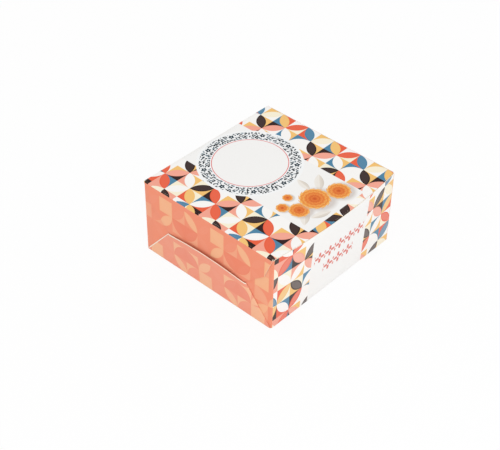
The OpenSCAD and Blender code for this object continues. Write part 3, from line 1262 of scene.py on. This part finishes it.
@dataclass
class Lid:
    """Lid panel with the creases that it turns on and that carry its flaps."""

    carton: Carton
    top_print: BoardFinish
    tuck_print: BoardFinish
    end_prints: Tuple[BoardFinish, BoardFinish]
    sag: float = 0.35 * MM
    tuck_lean: float = 2.4 * MM
    tuck_corner: float = 9.0 * MM
    flap_taper: float = 7.5 * MM
    flap_shoulder: float = 21.0 * MM
    flap_shoulder_radius: float = 6.0 * MM
    flap_corner_radius: float = 14.0 * MM
    flap_lift: float = 0.6 * MM
    toe_clear: float = 3.0 * MM

    def build(self) -> None:
        """Make every piece of the lid."""
        self.panel()
        self.hinge_crease()
        self.tuck_crease()
        self.tuck_flap()
        for side, word in ((-1, "left"), (1, "right")):
            self.side_crease(side, word)
            self.side_flap(side, word)

    @property
    def front_edge(self) -> float:
        """Give the place of the lid's front edge at its ends, where it has no bow."""
        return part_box("tuck_crease")[0].y + self.carton.bow

    def panel(self) -> None:
        """Make the lid panel between its creases, with a slight sag in its middle."""
        carton = self.carton
        half = carton.half - carton.reach
        rear = carton.back - carton.reach
        front = self.front_edge + carton.reach

        def spot(u: float, v: float) -> Vector:
            """Give a point of the top.

            Args:
                u: the place across, from -1 to 1.
                v: the share of the way from the front crease, at 0, to the hinge crease, at 1.

            Returns:
                The point.
            """
            x = half * u
            y = (front - carton.bow_at(x)) * (1 - v) + rear * v
            dip = self.sag * (1 - u * u) * 4 * v * (1 - v)
            return Vector((x, y, carton.top - dip))

        piece = board("lid_board", grid_skin(spot, 64, 48), Vector((0, 0, 1)), carton.board,
                      self.top_print)
        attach(piece, "lid")
        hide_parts("lid_panel")

    def crease(self, name: str, node: str, skin: Skin, bend: Bend,
               finish: BoardFinish) -> bpy.types.Object:
        """Make the board of a moving crease in place of its node.

        Args:
            name: the piece's name.
            node: the crease's node.
            skin: the printed side.
            bend: the bend across the crease.
            finish: the board's finishes.

        Returns:
            The piece.
        """
        piece = board(name, skin, bend.outward(), self.carton.board, finish)
        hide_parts(node)
        return piece

    def hinge_crease(self) -> None:
        """Make the crease along the top of the back wall."""
        carton = self.carton
        corner = Vector((0, carton.back, carton.top))
        bend = Bend(corner, Vector((0, 0, -1)), Vector((0, -1, 0)), carton.crease_radius, carton.lip)
        skin = grid_skin(lambda u, v: bend.point(v) + Vector((carton.wall_half * u, 0, 0)), 48, 14)
        piece = self.crease("hinge_crease_board", "lid_hinge_crease", skin, bend, self.top_print)
        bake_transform(piece)

    def side_crease(self, side: int, word: str) -> None:
        """Make the crease along a side of the lid.

        Args:
            side: -1 for the left side and 1 for the right.
            word: the side's name.
        """
        carton = self.carton
        low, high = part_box(f"{word}_flap_crease")
        corner = Vector((side * carton.half, 0, carton.top))
        bend = Bend(corner, Vector((-side, 0, 0)), Vector((0, 0, -1)), carton.crease_radius, carton.lip)
        middle = (low.y + high.y) / 2
        length = (high.y - low.y) / 2
        skin = grid_skin(lambda u, v: bend.point(v) + Vector((0, middle + length * u, 0)), 48, 14)
        piece = self.crease(f"{word}_crease_board", f"{word}_flap_crease", skin, bend, self.top_print)
        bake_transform(piece)

    def tuck_crease(self) -> None:
        """Make the bowed crease along the front edge of the lid."""
        carton = self.carton
        corner = Vector((0, self.front_edge, carton.top))
        bend = Bend(corner, Vector((0, 1, 0)), Vector((0, 0, -1)), carton.crease_radius, carton.lip)

        def spot(u: float, v: float) -> Vector:
            """Give a point of the outer side."""
            x = carton.wall_half * u
            return bend.point(v) + Vector((x, -carton.bow_at(x), 0))

        piece = self.crease("tuck_crease_board", "tuck_crease", grid_skin(spot, 64, 14), bend,
                            self.top_print)
        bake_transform(piece)

    def tuck_flap(self) -> None:
        """Make the flap that tucks behind the front wall, with round lower corners."""
        carton = self.carton
        low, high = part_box("tuck_flap")
        top = carton.top - carton.reach
        corners = [(-high.x, top), (-high.x, low.z), (high.x, low.z), (high.x, top)]

        def spot(x: float, z: float) -> Vector:
            """Give a point of the outer side."""
            lean = self.tuck_lean * (top - z) / (top - low.z)
            return Vector((x, self.front_edge - carton.bow_at(x) + lean, z))

        skin = outline_skin(corners, (0, self.tuck_corner, self.tuck_corner, 0), spot, 4 * MM)
        piece = board("tuck_board", skin, Vector((0, -1, 0)), carton.board, self.tuck_print)
        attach(piece, "tuck")
        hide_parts("tuck_flap")

    def side_flap(self, side: int, word: str) -> None:
        """Make the flap that drops from a side of the lid into its pocket.

        Args:
            side: -1 for the left end and 1 for the right.
            word: the end's name.
        """
        carton = self.carton
        node = f"{word}_side_flap"
        low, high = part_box(node)
        half = (high.y - low.y) / 2
        middle = (high.y + low.y) / 2
        shoulder_z = carton.top - self.flap_shoulder
        shoulder = half - self.flap_taper
        # The toe is drawn in, so that it passes between the glued ends of the pocket
        toe = shoulder - (shoulder_z - low.z) - self.toe_clear
        top = carton.top - carton.reach
        corners = [(-half, top), (-shoulder, shoulder_z), (-toe, low.z), (toe, low.z),
                   (shoulder, shoulder_z), (half, top)]
        radii = (0, self.flap_shoulder_radius, self.flap_corner_radius, self.flap_corner_radius,
                 self.flap_shoulder_radius, 0)

        def spot(y: float, z: float) -> Vector:
            """Give a point of the outer side, which stands off a little at the tapered edges.

            Args:
                y: metres along the end from the flap's middle.
                z: the height in metres.

            Returns:
                The point.
            """
            drop = min(1.0, (top - z) / (top - shoulder_z))
            lift = self.flap_lift * drop * (abs(y) / half) ** 8
            return Vector((side * (carton.half + lift), middle + y, z))

        skin = outline_skin(corners, radii, spot, 8 * MM)
        piece = board(f"{word}_flap_board", skin, Vector((side, 0, 0)), carton.board,
                      self.end_prints[side > 0])
        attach(piece, f"{word}_flap")
        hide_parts(node)


@dataclass
class Studio:
    """White paper floor, soft light and the camera."""

    camera_place: Tuple[float, float, float] = (-0.5563, -0.4786, 0.6407)
    azimuth: float = 42.08
    elevation: float = 40.16
    roll: float = 1.03
    lens: float = 82.17
    floor_size: float = 6.0
    sky_strength: float = 0.88
    key_place: Tuple[float, float, float] = (-0.6, -1.0, 0.9)
    key_power: float = 4.0
    key_size: float = 0.8

    def build(self) -> None:
        """Set up the floor, the light and the camera."""
        self.floor()
        self.sky()
        self.lamp()
        self.camera()
        bpy.context.scene.view_settings.view_transform = "Standard"

    def floor(self) -> None:
        """Lay the paper that the carton stands on."""
        sheet = bmesh.new()
        bmesh.ops.create_grid(sheet, x_segments=8, y_segments=8, size=self.floor_size / 2)
        mesh = bpy.data.meshes.new("studio_floor")
        sheet.to_mesh(mesh)
        sheet.free()
        mesh.materials.append(StudioPaper().make())
        piece = bpy.data.objects.new("studio_floor", mesh)
        bpy.context.scene.collection.objects.link(piece)

    def sky(self) -> None:
        """Light the object evenly from all round, and show plain white behind it."""
        world = bpy.data.worlds.new("studio_sky")
        bpy.context.scene.world = world
        world.use_nodes = True
        tree = world.node_tree
        tree.nodes.clear()
        light = add(tree, "Background", {"Color": linear("#ffffff"), "Strength": self.sky_strength})
        plain = add(tree, "Background", {"Color": linear("#ffffff"), "Strength": 1.0})
        add(tree, "OutputWorld", [add(tree, "MixShader", [seen_directly(tree), light, plain])])

    def lamp(self) -> None:
        """Hang the soft key light so that it faces the carton."""
        data = bpy.data.lights.new("key_light", "AREA")
        data.energy = self.key_power
        data.size = self.key_size
        lamp = bpy.data.objects.new("key_light", data)
        lamp.location = self.key_place
        lamp.rotation_euler = (-Vector(self.key_place)).to_track_quat("-Z", "Y").to_euler()
        bpy.context.scene.collection.objects.link(lamp)

    def camera(self) -> None:
        """Place the camera at the photograph's viewing angle."""
        turn = math.radians(self.azimuth)
        dip = math.radians(self.elevation)
        tilt = math.radians(self.roll)
        forward = Vector((math.cos(dip) * math.cos(turn), math.cos(dip) * math.sin(turn), -math.sin(dip)))
        level = Vector((math.sin(turn), -math.cos(turn), 0.0))
        rise = level.cross(forward)
        right = level * math.cos(tilt) + rise * math.sin(tilt)
        up = rise * math.cos(tilt) - level * math.sin(tilt)
        data = bpy.data.cameras.new("camera")
        data.lens = self.lens
        data.sensor_width = 36.0
        camera = bpy.data.objects.new("camera", data)
        pose = Matrix((right, up, -forward)).transposed().to_4x4()
        pose.translation = Vector(self.camera_place)
        camera.matrix_world = pose
        bpy.context.scene.collection.objects.link(camera)
        bpy.context.scene.camera = camera


def main() -> None:
    """Load the frame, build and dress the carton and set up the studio."""
    logging.basicConfig(level=logging.INFO, format="%(name)s: %(message)s")
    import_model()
    plain = PlainBoard().make()
    cut = CutEdge().make()

    def finish(material: VarnishedBoard) -> BoardFinish:
        """Join a printed side with the board's back and cut edges."""
        return BoardFinish(material.make(), plain, cut)

    white = finish(VarnishedBoard(name="coated_board_white"))
    top = finish(LidPrint())
    front = finish(WallPrint(face=Face.FRONT))
    back = finish(WallPrint(name="coated_board_petal_back_print", face=Face.BACK))
    tuck = finish(PrintedFace(name="coated_board_petal_tuck_print", face=Face.FRONT))

    def end_pair(part: str, **choices: Any) -> Tuple[BoardFinish, BoardFinish]:
        """Print a part of the left end and the same part of the right end."""
        return (finish(EndPrint(name=f"coated_board_coral_{part}_left", face=Face.LEFT, **choices)),
                finish(EndPrint(name=f"coated_board_coral_{part}_right", face=Face.RIGHT, **choices)))

    flaps = end_pair("flap")
    # The pockets' print is mixed toward white, a painted sheen on the low flaps
    pockets = end_pair("pocket", grid=POCKET_PETALS, softness=0.08)
    tabs = end_pair("tab", grid=TAB_PETALS)

    carton = Carton()
    Tray(carton, white, front, back, pockets, tabs, GlueFilm().make()).build()
    Lid(carton, top, tuck, flaps).build()
    Studio().build()


if __name__ == "__main__":
    main()
